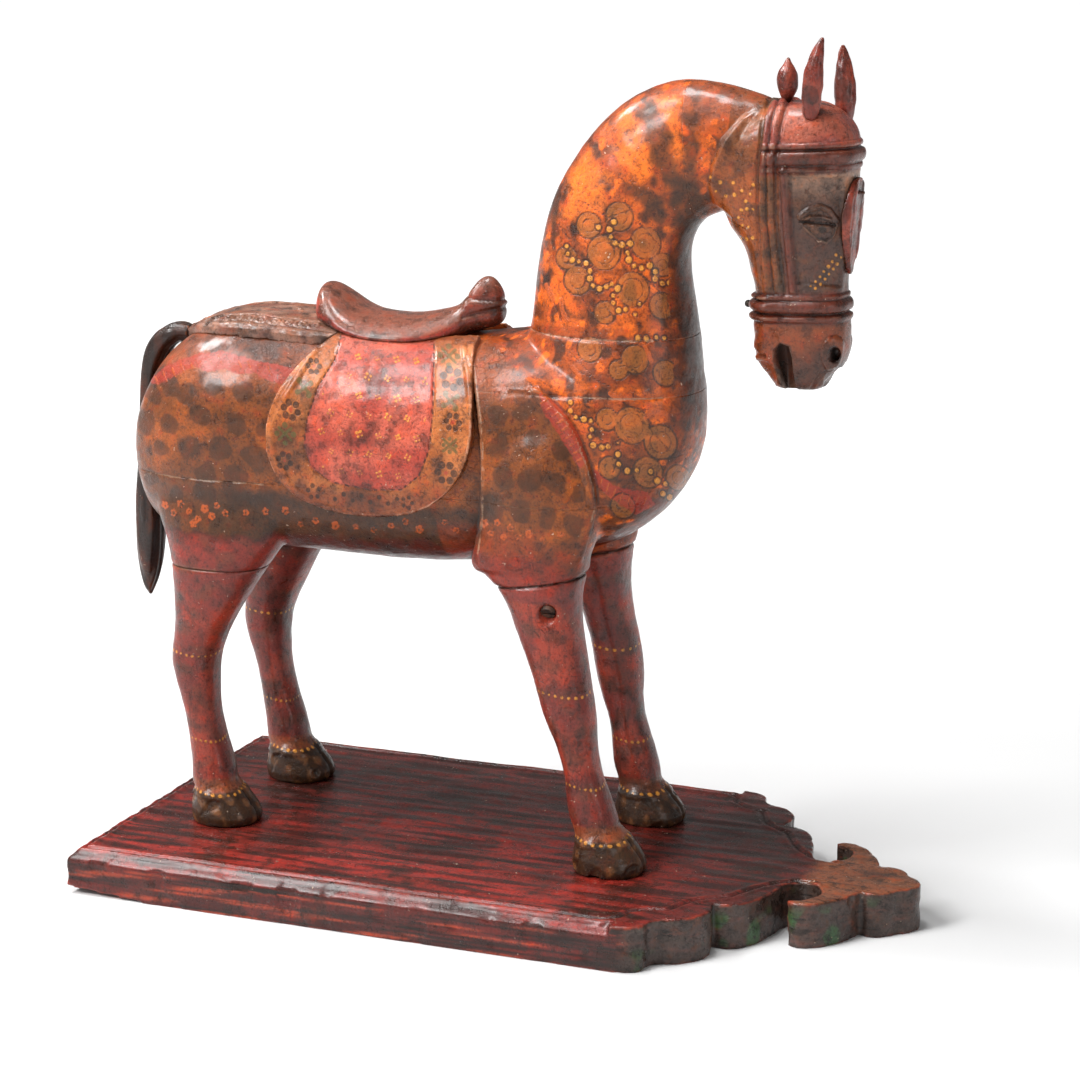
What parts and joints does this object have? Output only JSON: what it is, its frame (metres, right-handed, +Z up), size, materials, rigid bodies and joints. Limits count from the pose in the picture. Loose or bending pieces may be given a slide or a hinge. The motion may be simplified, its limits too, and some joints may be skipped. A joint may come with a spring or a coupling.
{
  "type": "carved wooden horse figurine",
  "caption": "Carved and painted wooden horse with bridle, saddle, saddle flaps and rump cover, standing on a thick lacquered board with a scalloped front end.",
  "frame": {"origin": "centre of the board's rectangle, from the rear edge to the tip of the front leaf, on its flat underside", "axes": "+X the way the horse faces, towards the scalloped end of the board; +Y the horse's left side, across the board; +Z up"},
  "size_m": [0.6017, 0.3002, 0.6],
  "materials": {
    "board_lacquer": "glossy worn lacquer",
    "leg_paint": "satin worn paint",
    "body_paint": "satin painted and varnished",
    "head_paint": "glossy painted and varnished",
    "red_brown_wood": "glossy varnish",
    "saddle_lacquer": "glossy worn lacquer",
    "flap_paint": "satin painted pattern",
    "rump_cover_paint": "glossy varnish",
    "tail_paint": "satin varnish",
    "peg_wood": "matte raw wood",
    "old_steel": "dull dark iron"
  },
  "bodies": {
    "root": {"base_board": "board_lacquer", "right_front_leg": "leg_paint", "left_front_leg": "leg_paint", "right_hind_leg": "leg_paint", "left_hind_leg": "leg_paint", "torso_lower": "body_paint", "torso_upper": "body_paint", "withers_block": "body_paint", "neck": "body_paint", "head": "head_paint", "right_ear": "red_brown_wood", "left_ear": "red_brown_wood", "poll_bud": "red_brown_wood", "forehead_pendant": "red_brown_wood", "saddle_seat": "saddle_lacquer", "right_saddle_flap": "flap_paint", "left_saddle_flap": "flap_paint", "rump_cover": "rump_cover_paint", "tail": "tail_paint", "leg_pins": "peg_wood", "leg_plugs": "peg_wood", "leg_screw": "old_steel", "body_pegs": "peg_wood", "neck_pegs": "peg_wood", "head_pegs": "peg_wood", "saddle_pegs": "peg_wood", "flap_pegs": "peg_wood", "cover_pegs": "peg_wood", "pendant_pin": "old_steel", "noseband_nail": "old_steel", "floor_screws": "old_steel"}
  },
  "joints": []
}
